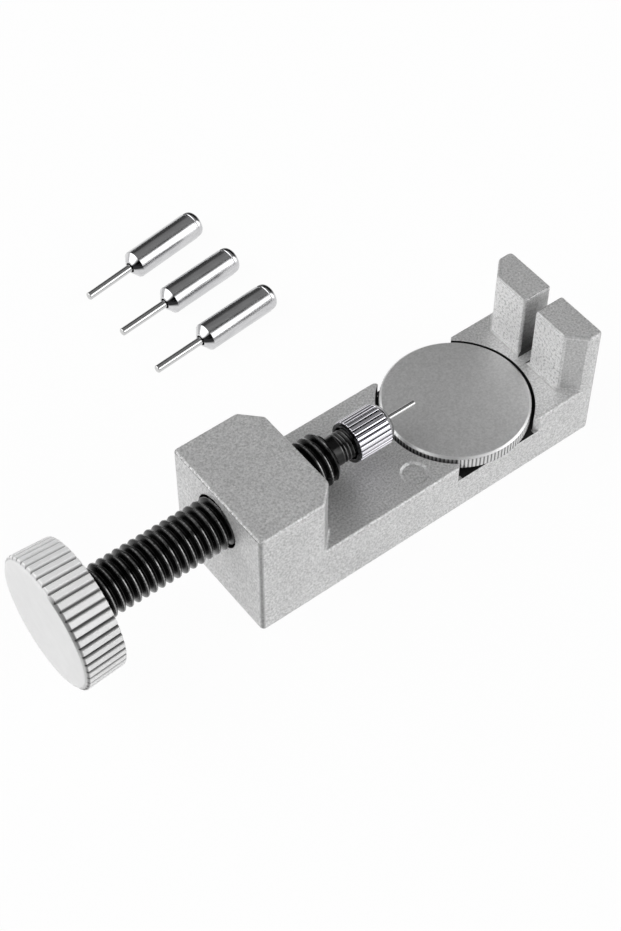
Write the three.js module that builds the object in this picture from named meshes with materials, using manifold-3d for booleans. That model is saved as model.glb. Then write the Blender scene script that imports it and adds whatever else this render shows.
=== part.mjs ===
// Watch link remover: a small bench tool that drives the pins out of a watch bracelet.
// Lengths are in millimetres. +Z is up and +X runs from the knob to the slotted rest.
// The origin is the centre of the casting's flat underside.

import * as THREE from 'three';
import { mergeVertices } from 'three/addons/utils/BufferGeometryUtils.js';
import Module from 'manifold-3d';

const wasm = await Module();
wasm.setup();

// Clearance between neighbouring pieces, and how far a cutting shape runs past what it cuts.
const gap = 0.3;
const overrun = 2;

// Casting: base bar, head block and slotted rest in one piece.
const castingLength = 75.75;
const castingWidth = 25;
const baseThickness = 12;
const headLength = 17;
const headHeight = 25.75;
const headCornerCut = 3.6;
const restThickness = 6.35;
const restHeight = 26.35;
const restCornerCut = 3.4;
const slotWidth = 2.85;
const castEdge = 0.55;

// Round pocket for the turntable, open at both sides of the bar.
const tableToRest = 16.4;
const recessFloor = 8.4;
const tableClearance = 0.6;

// Round ejector mark on the bar's top.
const markRadius = 2.6;
const markDepth = 0.3;
const markToHead = 19.6;
const markOffset = 8.37;

// Screw axis and the driving thread.
const axisHeight = 18.75;
const threadRadius = 4.9;
const threadDepth = 0.95;
const threadPitch = 1.6;
const freeScrew = 26.6;
const threadPastHead = 6.4;

// Knob.
const knobLength = 8;
const knobFrontRadius = 12.65;
const knobRearRadius = 12.25;
const knobBevelLength = 0.65;
const knobBevelDepth = 0.95;
const knobRearEdge = 0.3;
const knobGrooves = 45;
const knobGrooveDepth = 0.5;
const spigotRadius = 3.7;
const spigotLength = 5.6;

// Nose of the spindle, with its fine thread.
const noseRadius = 2.84;
const noseThreadDepth = 0.34;
const nosePitch = 0.75;
const neckLength = 2;
const noseLength = 9.8;

// Chuck cap.
const capToThread = 4.2;
const capLength = 8.5;
const capRadius = 4.03;
const capChamferLength = 1.4;
const capFaceRadius = 3.15;
const capRearEdge = 0.4;
const capGrooves = 24;
const capGrooveDepth = 0.3;
const capFrontWall = 1.2;
const capSeatLength = 1.3;

// Punch that the chuck holds.
const punchRadius = 1.6;
const punchLength = 9;
const punchShoulder = 0.6;
const punchEdge = 0.25;
const punchPastNose = 0.6;
const needleRadius = 0.5;
const needleShown = 6.95;
const needleGrip = 2.5;

// Turntable and its threaded stud.
const tableRadius = 13.9;
const tableThickness = 3;
const tableRise = 1.2;
const tableTopEdge = 0.6;
const tableFootEdge = 0.35;
const studRadius = 3;
const studThreadDepth = 0.5;
const studPitch = 1;
const studRecess = 1.4;
const studSpigotRadius = 2;
const studSpigotLength = 1.8;

// Spare punches, lying on the bench beside the tool.
const spareRadius = 2.83;
const spareLength = 16.6;
const spareShoulder = 1.2;
const spareEndRound = 0.75;
const spareNeedleRadius = 0.78;
const spareNeedleShown = 11;
const spareNeedleGrip = 3;
const spareToHead = 13.3;
const spareRowOffset = 46.8;
const spareSpacing = 12.07;
const spareTurns = [5, 6.2, 8];

// Hand-chosen shares of the sizes they follow.
const threadCrestShare = 0.3;
const threadRootShare = 0.12;
const threadLateShare = 0.61;
const knobGrooveMouthShare = 0.3;
const knobGrooveFloorShare = 0.2;
const capGrooveMouthShare = 0.36;
const capGrooveFloorShare = 0.16;
const punchFaceShare = 0.66;
const spareFaceShare = 0.5;
const needleTipShare = 0.25;

// Places along the screw, worked out from the casting's ends.
const headOuterX = -castingLength / 2;
const headInnerX = headOuterX + headLength;
const restInnerX = castingLength / 2 - restThickness;
const knobRearX = headOuterX - freeScrew;
const threadEndX = headInnerX + threadPastHead;
const noseEndX = threadEndX + noseLength;
const capRearX = threadEndX + capToThread;
const capFrontX = capRearX + capLength;
const needleTipX = capFrontX + needleShown;

// Places of the turntable.
const tableX = restInnerX - tableToRest;
const tableFoot = recessFloor + tableRise;
const recessRadius = tableRadius + tableClearance;
const holeRadius = studRadius + gap;
const boreRadius = threadRadius + gap;

// A closed three.js geometry as a solid that can be cut and joined.
function solidFrom(geometry) {
  const bare = geometry.clone();
  bare.deleteAttribute('normal');
  bare.deleteAttribute('uv');
  const merged = mergeVertices(bare);
  return new wasm.Manifold(new wasm.Mesh({
    numProp: 3,
    vertProperties: new Float32Array(merged.attributes.position.array),
    triVerts: new Uint32Array(merged.index.array),
  }));
}

// A solid back as a three.js geometry.
function geometryFrom(solid) {
  const mesh = solid.getMesh();
  const geometry = new THREE.BufferGeometry();
  geometry.setAttribute('position', new THREE.BufferAttribute(new Float32Array(mesh.vertProperties), 3));
  geometry.setIndex(new THREE.BufferAttribute(new Uint32Array(mesh.triVerts), 1));
  geometry.computeVertexNormals();
  return geometry;
}

// A round solid about X from a profile of [station, radius] points that starts and ends on the axis.
function turned(profile, segments) {
  const points = profile.map(([station, radius]) => new THREE.Vector2(radius, station));
  return solidFrom(new THREE.LatheGeometry(points, segments).rotateZ(-Math.PI / 2));
}

// The same about Z, standing up at a place on the bar.
function turnedUpright(profile, segments, x = 0, y = 0) {
  const points = profile.map(([station, radius]) => new THREE.Vector2(radius, station));
  return solidFrom(new THREE.LatheGeometry(points, segments).rotateX(Math.PI / 2).translate(x, y, 0));
}

// A plain cylinder profile between two stations.
function plainProfile(start, end, radius) {
  return [[start, 0], [start, radius], [end, radius], [end, 0]];
}

// A block standing on the bench, its plan a rectangle with cut corners, its rims broken by a small edge.
function block(startX, endX, height, startCut, endCut) {
  const half = castingWidth / 2;
  const plan = new THREE.Shape([
    new THREE.Vector2(startX + startCut, -half),
    new THREE.Vector2(endX - endCut, -half),
    new THREE.Vector2(endX, -half + endCut),
    new THREE.Vector2(endX, half - endCut),
    new THREE.Vector2(endX - endCut, half),
    new THREE.Vector2(startX + startCut, half),
    new THREE.Vector2(startX, half - startCut),
    new THREE.Vector2(startX, -half + startCut),
  ]);
  const geometry = new THREE.ExtrudeGeometry(plan, {
    depth: height - 2 * castEdge,
    bevelEnabled: true,
    bevelThickness: castEdge,
    bevelSize: castEdge,
    bevelOffset: -castEdge,
    bevelSegments: 1,
  });
  return solidFrom(geometry.translate(0, 0, castEdge));
}

// A right-handed helical thread about X between two stations, with chamfered ends.
// The ridge starts late by a share of the pitch, runs past both ends and is trimmed by a round envelope.
function threaded(start, end, crestRadius, depth, pitch, steps, lateShare = 0) {
  const rootRadius = crestRadius - depth;
  const flank = (1 - threadCrestShare - threadRootShare) / 2;
  const section = [
    [0, rootRadius],
    [threadRootShare, rootRadius],
    [threadRootShare + flank, crestRadius],
    [threadRootShare + flank + threadCrestShare, crestRadius],
  ];
  const turns = Math.ceil((end - start) / pitch) + 2;
  const positions = [];
  const stride = section.length;
  for (let step = 0; step <= turns * steps; step += 1) {
    const angle = (step / steps) * 2 * Math.PI;
    for (const [share, radius] of section) {
      const station = start - 2 * pitch + (step / steps + share + lateShare) * pitch;
      positions.push(station, radius * Math.cos(angle), radius * Math.sin(angle));
    }
  }
  const faces = [];
  const vertex = (step, point) => (point < stride ? step * stride + point : (step + steps) * stride);
  const lastStep = turns * steps;
  for (let step = 0; step < lastStep; step += 1) {
    for (let point = 0; point < stride; point += 1) {
      if (point === stride - 1 && step + 1 + steps > lastStep) continue;
      const a = vertex(step, point);
      const b = vertex(step, point + 1);
      const c = vertex(step + 1, point + 1);
      const d = vertex(step + 1, point);
      faces.push(a, d, b, b, d, c);
    }
  }
  closeOnAxis(positions, faces);
  const geometry = new THREE.BufferGeometry();
  geometry.setAttribute('position', new THREE.Float32BufferAttribute(positions, 3));
  geometry.setIndex(faces);
  const envelope = turned([
    [start, 0],
    [start, rootRadius],
    [start + depth + gap, crestRadius + gap],
    [end - depth - gap, crestRadius + gap],
    [end, rootRadius],
    [end, 0],
  ], 2 * steps);
  return solidFrom(geometry).intersect(envelope);
}

// Closes each open rim of a tube about X with a fan to a point on the axis.
function closeOnAxis(positions, faces) {
  const next = new Map();
  for (let i = 0; i < faces.length; i += 3) {
    for (let side = 0; side < 3; side += 1) {
      const from = faces[i + side];
      const to = faces[i + ((side + 1) % 3)];
      next.set(`${from} ${to}`, [from, to]);
    }
  }
  const open = new Map();
  for (const [from, to] of next.values()) {
    if (!next.has(`${to} ${from}`)) open.set(to, from);
  }
  while (open.size > 0) {
    const loop = [];
    let vertex = open.keys().next().value;
    while (open.has(vertex)) {
      loop.push(vertex);
      const following = open.get(vertex);
      open.delete(vertex);
      vertex = following;
    }
    const middle = loop.reduce((sum, index) => sum + positions[3 * index], 0) / loop.length;
    const apex = positions.length / 3;
    positions.push(middle, 0, 0);
    for (let i = 0; i < loop.length; i += 1) faces.push(apex, loop[i], loop[(i + 1) % loop.length]);
  }
}

// A bar about X with straight grooves round its rim, trimmed to a turned envelope.
function grooved(start, end, radius, count, depth, mouthShare, floorShare, envelope) {
  const pitchAngle = (2 * Math.PI) / count;
  const rim = [];
  for (let groove = 0; groove < count; groove += 1) {
    const centre = groove * pitchAngle;
    const corners = [
      [-mouthShare / 2, radius],
      [-floorShare / 2, radius - depth],
      [floorShare / 2, radius - depth],
      [mouthShare / 2, radius],
    ];
    for (const [share, reach] of corners) {
      const angle = centre + share * pitchAngle;
      rim.push(new THREE.Vector2(reach * Math.cos(angle), reach * Math.sin(angle)));
    }
  }
  const geometry = new THREE.ExtrudeGeometry(new THREE.Shape(rim), {
    depth: end - start,
    bevelEnabled: false,
  });
  return solidFrom(geometry.rotateY(Math.PI / 2).translate(start, 0, 0)).intersect(envelope);
}

// Base bar, head block and rest, with the bore, the pocket, the slot and the stud's hole cut through.
function makeCasting() {
  const bar = block(-castingLength / 2, castingLength / 2, baseThickness, castEdge, castEdge);
  const head = block(headOuterX, headInnerX, headHeight, castEdge, headCornerCut);
  const rest = block(restInnerX, castingLength / 2, restHeight, restCornerCut, castEdge);
  const bore = turned(plainProfile(headOuterX - overrun, headInnerX + overrun, boreRadius), 48);
  const pocket = turnedUpright(
    plainProfile(recessFloor, baseThickness + overrun, recessRadius), 96, tableX);
  const studHole = turnedUpright(plainProfile(-overrun, recessFloor + overrun, holeRadius), 32, tableX);
  const mark = turnedUpright(
    plainProfile(baseThickness - markDepth, baseThickness + overrun, markRadius), 32,
    headInnerX + markToHead, -markOffset);
  const slotDepth = restHeight - baseThickness;
  const slot = new THREE.BoxGeometry(restThickness + 2 * overrun, slotWidth, slotDepth + overrun)
    .translate(restInnerX + restThickness / 2, 0, baseThickness + (slotDepth + overrun) / 2);
  const boreOnAxis = solidFrom(geometryFrom(bore).translate(0, 0, axisHeight));
  return bar.add(head).add(rest).subtract(boreOnAxis).subtract(pocket).subtract(studHole)
    .subtract(mark).subtract(solidFrom(slot));
}

// Driving screw: a spigot in the knob, the thread, a plain neck and the bored nose with its fine thread.
function makeSpindle() {
  const threadStartX = knobRearX + gap;
  const noseThreadX = threadEndX + neckLength;
  const spigot = turned([
    [knobRearX - spigotLength, 0],
    [knobRearX - spigotLength, spigotRadius - gap],
    [knobRearX - spigotLength + gap, spigotRadius],
    [threadStartX + threadDepth, spigotRadius],
    [threadStartX + threadDepth, 0],
  ], 36);
  const screw = threaded(
    threadStartX, threadEndX, threadRadius, threadDepth, threadPitch, 16, threadLateShare);
  const neck = turned(plainProfile(threadEndX - threadDepth, noseThreadX, noseRadius), 36);
  const nose = threaded(noseThreadX - gap, noseEndX, noseRadius, noseThreadDepth, nosePitch, 14);
  const boreDepth = punchLength - punchPastNose + gap;
  const bore = turned(plainProfile(noseEndX - boreDepth, noseEndX + overrun, punchRadius + gap), 28);
  return spigot.add(screw).add(neck).add(nose).subtract(bore);
}

// Knob: grooved round its rim, bevelled at its face, with a blind hole for the spindle's spigot.
function makeKnob() {
  const frontX = knobRearX - knobLength;
  const envelope = turned([
    [frontX, 0],
    [frontX, knobFrontRadius - knobBevelDepth],
    [frontX + knobBevelLength, knobFrontRadius],
    [knobRearX - knobRearEdge, knobRearRadius],
    [knobRearX, knobRearRadius - knobRearEdge],
    [knobRearX, 0],
  ], 90);
  const hole = turned(
    plainProfile(knobRearX - spigotLength - gap, knobRearX + overrun, spigotRadius + gap), 36);
  return grooved(frontX - overrun, knobRearX + overrun, knobFrontRadius, knobGrooves, knobGrooveDepth,
    knobGrooveMouthShare, knobGrooveFloorShare, envelope).subtract(hole);
}

// Chuck cap: screws on the nose, closes on the punch's shoulder and lets the needle through.
function makeChuckCap() {
  const knurlEndX = capFrontX - capChamferLength;
  const envelope = turned([
    [capRearX, 0],
    [capRearX, capRadius - capRearEdge],
    [capRearX + capRearEdge, capRadius],
    [knurlEndX, capRadius],
    [capFrontX, capFaceRadius],
    [capFrontX, 0],
  ], 72);
  const seatX = capFrontX - capFrontWall;
  const inside = turned([
    [capRearX - overrun, 0],
    [capRearX - overrun, noseRadius + gap],
    [seatX - capSeatLength, noseRadius + gap],
    [seatX, needleRadius + gap],
    [capFrontX + overrun, needleRadius + gap],
    [capFrontX + overrun, 0],
  ], 32);
  return grooved(capRearX - overrun, capFrontX + overrun, capRadius, capGrooves, capGrooveDepth,
    capGrooveMouthShare, capGrooveFloorShare, envelope).subtract(inside);
}

// Body of a punch: a round bar with a coned shoulder at station 0 and a socket for the needle.
function makePunchBody({ radius, length, shoulder, faceRadius, endEdge, socketRadius, socketDepth }) {
  const bar = turned([
    [-length, 0],
    [-length, radius - endEdge],
    [-length + endEdge * (1 - Math.SQRT1_2), radius - endEdge * (1 - Math.SQRT1_2)],
    [-length + endEdge, radius],
    [0, radius],
    [shoulder, faceRadius],
    [shoulder, 0],
  ], 32);
  return bar.subtract(turned(plainProfile(shoulder - socketDepth, shoulder + overrun, socketRadius), 20));
}

// Needle of a punch, from its buried end to its tip.
function makeNeedle(start, end, radius) {
  const edge = radius * needleTipShare;
  return turned([
    [start, 0],
    [start, radius - edge],
    [start + edge, radius],
    [end - edge, radius],
    [end, radius - edge],
    [end, 0],
  ], 16);
}

// Turntable: a round plate with a blind hole underneath for the stud.
function makeTurntable() {
  const top = tableFoot + tableThickness;
  const plate = turnedUpright([
    [tableFoot, 0],
    [tableFoot, tableRadius - tableFootEdge],
    [tableFoot + tableFootEdge, tableRadius],
    [top - tableTopEdge, tableRadius],
    [top, tableRadius - tableTopEdge],
    [top, 0],
  ], 96, tableX);
  const holeTop = tableFoot + studSpigotLength + gap;
  const hole = turnedUpright(
    plainProfile(tableFoot - overrun, holeTop, studSpigotRadius + gap), 28, tableX);
  return plate.subtract(hole);
}

// Stud: screwed into the bar, its spigot held in the turntable.
function makeStud() {
  const shoulder = tableFoot - gap;
  const thread = threaded(studRecess, shoulder, studRadius, studThreadDepth, studPitch, 14);
  const upright = geometryFrom(thread).rotateY(-Math.PI / 2).translate(tableX, 0, 0);
  const spigot = turnedUpright(
    plainProfile(shoulder - studThreadDepth, tableFoot + studSpigotLength, studSpigotRadius), 28, tableX);
  return solidFrom(upright).add(spigot);
}

// Finishes, as read from the photographed object.
const castAlloy = new THREE.MeshStandardMaterial({ color: 0xb4b4b2, roughness: 0.62, metalness: 0.85 });
const blackSteel = new THREE.MeshStandardMaterial({ color: 0x151516, roughness: 0.3, metalness: 0.8 });
const satinSteel = new THREE.MeshStandardMaterial({ color: 0xd8d9d8, roughness: 0.42, metalness: 0.9 });
const chromedSteel = new THREE.MeshStandardMaterial({ color: 0xe4e5e8, roughness: 0.12, metalness: 1 });
const brightSteel = new THREE.MeshStandardMaterial({ color: 0xd0d1d4, roughness: 0.2, metalness: 1 });
const satinPlate = new THREE.MeshStandardMaterial({ color: 0xa9a9ab, roughness: 0.5, metalness: 0.85 });
const darkStud = new THREE.MeshStandardMaterial({ color: 0x5c5d60, roughness: 0.4, metalness: 0.9 });

const tool = new THREE.Group();

// A named piece, put in a group.
function addPiece(group, name, solid, material) {
  const piece = new THREE.Mesh(geometryFrom(solid), material.clone());
  piece.name = name;
  group.add(piece);
  return piece;
}

addPiece(tool, 'base_casting', makeCasting(), castAlloy);

const screwLine = new THREE.Group();
screwLine.position.z = axisHeight;
tool.add(screwLine);
addPiece(screwLine, 'spindle', makeSpindle(), blackSteel);
addPiece(screwLine, 'knob', makeKnob(), satinSteel);
addPiece(screwLine, 'chuck_cap', makeChuckCap(), chromedSteel);

// The fitted punch stands a little proud of the nose, and the cap's inner cone holds its shoulder.
const fittedShoulderX = noseEndX + punchPastNose;
const fittedFaceX = fittedShoulderX + punchShoulder;
const fittedBody = addPiece(screwLine, 'punch_body', makePunchBody({
  radius: punchRadius,
  length: punchLength,
  shoulder: punchShoulder,
  faceRadius: punchRadius * punchFaceShare,
  endEdge: punchEdge,
  socketRadius: needleRadius + gap,
  socketDepth: needleGrip,
}), brightSteel);
fittedBody.position.x = fittedShoulderX;
const fittedNeedle = makeNeedle(fittedFaceX - needleGrip + gap, needleTipX, needleRadius);
addPiece(screwLine, 'punch_needle', fittedNeedle, brightSteel);

addPiece(tool, 'turntable', makeTurntable(), satinPlate);
addPiece(tool, 'turntable_stud', makeStud(), darkStud);

// Spare punches point back towards the knob side, each turned a little more than the last.
spareTurns.forEach((turn, index) => {
  const place = new THREE.Group();
  place.position.set(headInnerX + spareToHead, spareRowOffset + index * spareSpacing, spareRadius);
  place.rotation.z = Math.PI + THREE.MathUtils.degToRad(turn);
  tool.add(place);
  const number = index + 1;
  addPiece(place, `spare_punch_${number}_body`, makePunchBody({
    radius: spareRadius,
    length: spareLength,
    shoulder: spareShoulder,
    faceRadius: spareRadius * spareFaceShare,
    endEdge: spareEndRound,
    socketRadius: spareNeedleRadius + gap,
    socketDepth: spareNeedleGrip,
  }), chromedSteel);
  const needle = makeNeedle(
    spareShoulder - spareNeedleGrip + gap, spareShoulder + spareNeedleShown, spareNeedleRadius);
  addPiece(place, `spare_punch_${number}_needle`, needle, brightSteel);
});

export default tool;
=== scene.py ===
from math import atan2, ceil, cos, degrees, floor, hypot, pi, radians, sin

import bmesh
import bpy
from mathutils import Matrix, Vector


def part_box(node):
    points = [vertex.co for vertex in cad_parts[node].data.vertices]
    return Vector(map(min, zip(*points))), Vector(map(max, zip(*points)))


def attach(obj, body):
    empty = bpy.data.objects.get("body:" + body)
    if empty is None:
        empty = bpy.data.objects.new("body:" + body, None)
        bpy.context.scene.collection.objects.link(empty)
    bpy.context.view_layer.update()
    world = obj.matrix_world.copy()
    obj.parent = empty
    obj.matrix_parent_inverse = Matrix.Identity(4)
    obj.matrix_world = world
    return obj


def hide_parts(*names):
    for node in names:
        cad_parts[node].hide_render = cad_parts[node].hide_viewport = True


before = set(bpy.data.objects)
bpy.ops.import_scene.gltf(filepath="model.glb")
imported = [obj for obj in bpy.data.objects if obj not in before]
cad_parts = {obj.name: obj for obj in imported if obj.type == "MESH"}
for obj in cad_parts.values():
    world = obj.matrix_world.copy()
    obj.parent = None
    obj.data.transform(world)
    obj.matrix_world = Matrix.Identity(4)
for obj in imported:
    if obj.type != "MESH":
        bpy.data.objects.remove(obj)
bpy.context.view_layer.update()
mm = 0.001


# Casting
# One piece of aluminium alloy, cast and blasted to an even silver grey: the bar on the bench, the head
# block that the screw runs through, and the slotted rest. Its pocket and bore are cut afterwards.
casting_low, casting_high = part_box("base_casting")
base_thickness = 12 * mm
head_length = 17 * mm
head_height = 25.75 * mm
head_corner = 3.6 * mm
rest_thickness = 6.35 * mm
rest_height = casting_high.z
rest_corner = 3.4 * mm
slot_width = 2.85 * mm
corner_round = 0.9 * mm
cast_edge = 0.55 * mm
cut_edge = 0.16 * mm
bore_radius = 5.2 * mm
axis_height = 18.75 * mm
pocket_floor = 8.4 * mm
pocket_clearance = 0.6 * mm
pocket_tip = 1.1 * mm
tip_chamfer = 0.75 * mm
mark_place = (-1.28 * mm, -8.37 * mm)
mark_radius = 2.6 * mm
mark_wall = 0.45 * mm
mark_depth = 0.3 * mm
running_gap = 0.3 * mm

head_inner = casting_low.x + head_length
rest_inner = casting_high.x - rest_thickness
table_low, table_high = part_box("turntable")
table_centre = (table_low + table_high) / 2
table_radius = (table_high.x - table_low.x) / 2
pocket_radius = table_radius + pocket_clearance
stud_low, stud_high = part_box("turntable_stud")
stud_radius = (stud_high.x - stud_low.x) / 2


def material_nodes(name, colour, metallic, roughness):
    """A new material, its node tree, and its shader with plain values set."""
    material = bpy.data.materials.new(name)
    material.use_nodes = True
    shader = material.node_tree.nodes["Principled BSDF"]
    shader.inputs["Base Color"].default_value = (*colour, 1)
    shader.inputs["Metallic"].default_value = metallic
    shader.inputs["Roughness"].default_value = roughness
    return material, material.node_tree, shader


def feed(tree, source, socket):
    """Links an output to a socket, or sets the socket to a number or a colour."""
    if isinstance(source, bpy.types.NodeSocket):
        tree.links.new(source, socket)
    else:
        socket.default_value = (*source, 1) if isinstance(source, tuple) else source


def noise_at(tree, place, feature, detail=2.0, fine_share=0.5):
    """Noise whose grains are about one feature across."""
    noise = tree.nodes.new("ShaderNodeTexNoise")
    noise.inputs["Scale"].default_value = 1 / feature
    noise.inputs["Detail"].default_value = detail
    noise.inputs["Roughness"].default_value = fine_share
    tree.links.new(place, noise.inputs["Vector"])
    return noise.outputs["Fac"]


def grey(value):
    """A neutral colour."""
    return (value, value, value)


def ramp_between(tree, value, stops):
    """A colour ramp through (position, grey or colour) stops."""
    ramp = tree.nodes.new("ShaderNodeValToRGB")
    tree.links.new(value, ramp.inputs["Fac"])
    while len(ramp.color_ramp.elements) < len(stops):
        ramp.color_ramp.elements.new(0.5)
    for element, (position, tone) in zip(ramp.color_ramp.elements, stops):
        element.position = position
        element.color = (*(tone if isinstance(tone, tuple) else grey(tone)), 1)
    return ramp.outputs["Color"]


def share_between(tree, value, low, high, interpolation="LINEAR"):
    """0 at the low value and 1 at the high one, which may be the smaller of the two."""
    share = tree.nodes.new("ShaderNodeMapRange")
    share.interpolation_type = interpolation
    share.inputs["From Min"].default_value = low
    share.inputs["From Max"].default_value = high
    tree.links.new(value, share.inputs["Value"])
    return share.outputs["Result"]


def mixed(tree, share, first, second, blend_type="MIX"):
    """Two colours blended by a share of the second."""
    mix = tree.nodes.new("ShaderNodeMix")
    mix.data_type = "RGBA"
    mix.blend_type = blend_type
    for source, socket in ((share, "Factor"), (first, "A"), (second, "B")):
        feed(tree, source, mix.inputs[socket])
    return mix.outputs["Result"]


def split(tree, place):
    """The X, Y and Z of a place."""
    parts = tree.nodes.new("ShaderNodeSeparateXYZ")
    tree.links.new(place, parts.inputs["Vector"])
    return parts.outputs


def bump_from(tree, height, distance):
    """A bump whose height is given in metres."""
    bump = tree.nodes.new("ShaderNodeBump")
    bump.inputs["Distance"].default_value = distance
    bump.inputs["Strength"].default_value = 1
    tree.links.new(height, bump.inputs["Height"])
    return bump.outputs["Normal"]


def blasted_alloy(name, tones, metallic, roughness, bump, grain_size=0.4 * mm):
    """Blasted alloy: a fine grain of pits and glints over slow patches left by the blasting."""
    material, tree, shader = material_nodes(name, grey(tones[1]), metallic, roughness)
    place = tree.nodes.new("ShaderNodeTexCoord").outputs["Object"]
    grain = noise_at(tree, place, grain_size, 5, 0.7)
    patches = noise_at(tree, place, 6 * mm, 3)
    grain_tone = ramp_between(tree, grain, list(zip((0.36, 0.5, 0.66), tones)))
    patch_tone = ramp_between(tree, patches, [(0.3, 0.92), (0.7, 1)])
    tree.links.new(mixed(tree, 1, grain_tone, patch_tone, "MULTIPLY"), shader.inputs["Base Color"])
    grain_roughness = ramp_between(tree, grain, [(0.3, roughness + 0.06), (0.7, roughness - 0.06)])
    tree.links.new(grain_roughness, shader.inputs["Roughness"])
    tree.links.new(bump_from(tree, grain, bump), shader.inputs["Normal"])
    return material


def shaded_downwards(material, low, high, stops):
    """Multiplies a material's colour by a ramp between two heights, as painted shade."""
    tree = material.node_tree
    colour = tree.nodes["Principled BSDF"].inputs["Base Color"]
    place = tree.nodes.new("ShaderNodeTexCoord").outputs["Object"]
    painted_shade = ramp_between(tree, share_between(tree, split(tree, place)["Z"], low, high), stops)
    tree.links.new(mixed(tree, 1, colour.links[0].from_socket, painted_shade, "MULTIPLY"), colour)
    return material


# The casting's looks: blasted faces, edges rubbed bright by handling, cuts painted near black as shade,
# upright corners with a painted dark reflection line, flanks and chamfers painted darker as shade, the rest's
# inner faces with a coarser grain and painted brighter as lit, and the slot's walls in painted shade that
# darkens downwards. Each gives the greys of pits, metal and glints, how metallic and how rough it is, and its
# bump's height.
casting_looks = [
    blasted_alloy("blasted alloy", (0.49, 0.69, 0.9), 0.55, 0.5, 0.04 * mm),
    blasted_alloy("rubbed edges", (0.16, 0.4, 0.7), 0.7, 0.4, 0.03 * mm),
    blasted_alloy("cuts in painted shade", (0.02, 0.03, 0.04), 0.5, 0.5, 0.01 * mm),
    blasted_alloy("corners with a painted dark line", (0.27, 0.35, 0.44), 0.5, 0.55, 0.02 * mm),
    blasted_alloy("flanks in painted shade", (0.4, 0.53, 0.68), 0.5, 0.55, 0.02 * mm),
    blasted_alloy("coarse faces painted lit", (0.46, 0.88, 1.0), 0.55, 0.5, 0.05 * mm, 0.5 * mm),
    # The slot's walls are painted darker towards the bottom, as shade.
    shaded_downwards(
        blasted_alloy("slot walls", (0.42, 0.6, 0.8), 0.5, 0.55, 0.03 * mm), base_thickness, rest_height,
        [(0, 0.14), (0.15, 0.26), (0.35, 0.48), (0.65, 0.72), (0.85, 0.82), (1, 1)]),
]
plain_look, rubbed_look, shaded_cut_look, dark_line_corner_look, shaded_flank_look, coarse_lit_look, shaded_slot_look = range(7)


def piece_from(bm, name):
    """A finished mesh as an object at the origin."""
    mesh = bpy.data.meshes.new(name)
    bm.to_mesh(mesh)
    bm.free()
    piece = bpy.data.objects.new(name, mesh)
    bpy.context.scene.collection.objects.link(piece)
    return piece


def cut_away(body, cutter_bm, look=plain_look):
    """Takes a closed cutter out of a body, and gives the cut one of the body's materials."""
    for face in cutter_bm.faces:
        face.material_index = look
    cutter = piece_from(cutter_bm, "cutter")
    for material in body.data.materials:
        cutter.data.materials.append(material)
    step = body.modifiers.new("cut", "BOOLEAN")
    step.operation = "DIFFERENCE"
    step.solver = "EXACT"
    step.object = cutter
    graph = bpy.context.evaluated_depsgraph_get()
    fresh = bpy.data.meshes.new_from_object(body.evaluated_get(graph))
    body.modifiers.clear()
    body.data = fresh
    bpy.data.objects.remove(cutter)


def round_cutter(radius, length, segments):
    """A round cutter standing on the origin."""
    bm = bmesh.new()
    bmesh.ops.create_cone(
        bm, cap_ends=True, segments=segments, radius1=radius, radius2=radius, depth=length)
    bmesh.ops.translate(bm, vec=(0, 0, length / 2), verts=bm.verts)
    return bm


def box_cutter(size, middle, turn=0):
    """A box-shaped cutter round a middle, turned by some degrees about its upright axis."""
    bm = bmesh.new()
    bmesh.ops.create_cube(bm, size=1)
    bmesh.ops.scale(bm, vec=size, verts=bm.verts)
    bmesh.ops.rotate(bm, cent=(0, 0, 0), matrix=Matrix.Rotation(radians(turn), 3, "Z"), verts=bm.verts)
    bmesh.ops.translate(bm, vec=middle, verts=bm.verts)
    return bm


def score(bm, point, normal, keep):
    """Cuts a line into the faces of a flat sheet whose middle passes a test."""
    faces = [face for face in bm.faces if keep(face.calc_center_median())]
    edges = {edge for face in faces for edge in face.edges}
    verts = {vert for face in faces for vert in face.verts}
    bmesh.ops.bisect_plane(
        bm, geom=[*faces, *edges, *verts], dist=1e-7, plane_co=(*point, 0), plane_no=(*normal, 0))


def raise_faces(bm, faces, height, keep_foot=False):
    """Draws a group of faces up into a block, and returns the faces of its top."""
    drawn = bmesh.ops.extrude_face_region(bm, geom=faces)["geom"]
    if not keep_foot:
        bmesh.ops.delete(bm, geom=faces, context="FACES")
    verts = [part for part in drawn if isinstance(part, bmesh.types.BMVert)]
    bmesh.ops.translate(bm, vec=(0, 0, height), verts=verts)
    return [part for part in drawn if isinstance(part, bmesh.types.BMFace)]


# A flat sheet, scored along the outlines of the head and of the rest's two posts, then drawn up in steps.
half_width = casting_high.y
bm = bmesh.new()
bmesh.ops.create_grid(bm, x_segments=1, y_segments=1, size=0.5)
bmesh.ops.scale(bm, vec=(casting_high.x - casting_low.x, 2 * half_width, 1), verts=bm.verts)
score(bm, (head_inner, 0), (1, 0), lambda middle: True)
score(bm, (rest_inner, 0), (1, 0), lambda middle: True)
for side in (-1, 1):
    head_line, rest_line = side * (half_width - head_corner), side * (half_width - rest_corner)
    score(bm, (head_inner, head_line), (1, side), lambda middle: middle.x < head_inner)
    score(bm, (rest_inner, rest_line), (-1, side), lambda middle: middle.x > rest_inner)
    score(bm, (0, side * slot_width / 2), (0, 1), lambda middle: middle.x > rest_inner)


def in_head(face):
    """Whether a face lies inside the head's outline."""
    middle = face.calc_center_median()
    return middle.x < head_inner and head_inner - middle.x + half_width - abs(middle.y) > head_corner


def in_post(face, side):
    """Whether a face lies inside the outline of the rest's post on one side of the slot."""
    middle = face.calc_center_median()
    past_corner = middle.x - rest_inner + half_width - abs(middle.y) > rest_corner
    return middle.x > rest_inner and past_corner and middle.y * side > slot_width / 2


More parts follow.
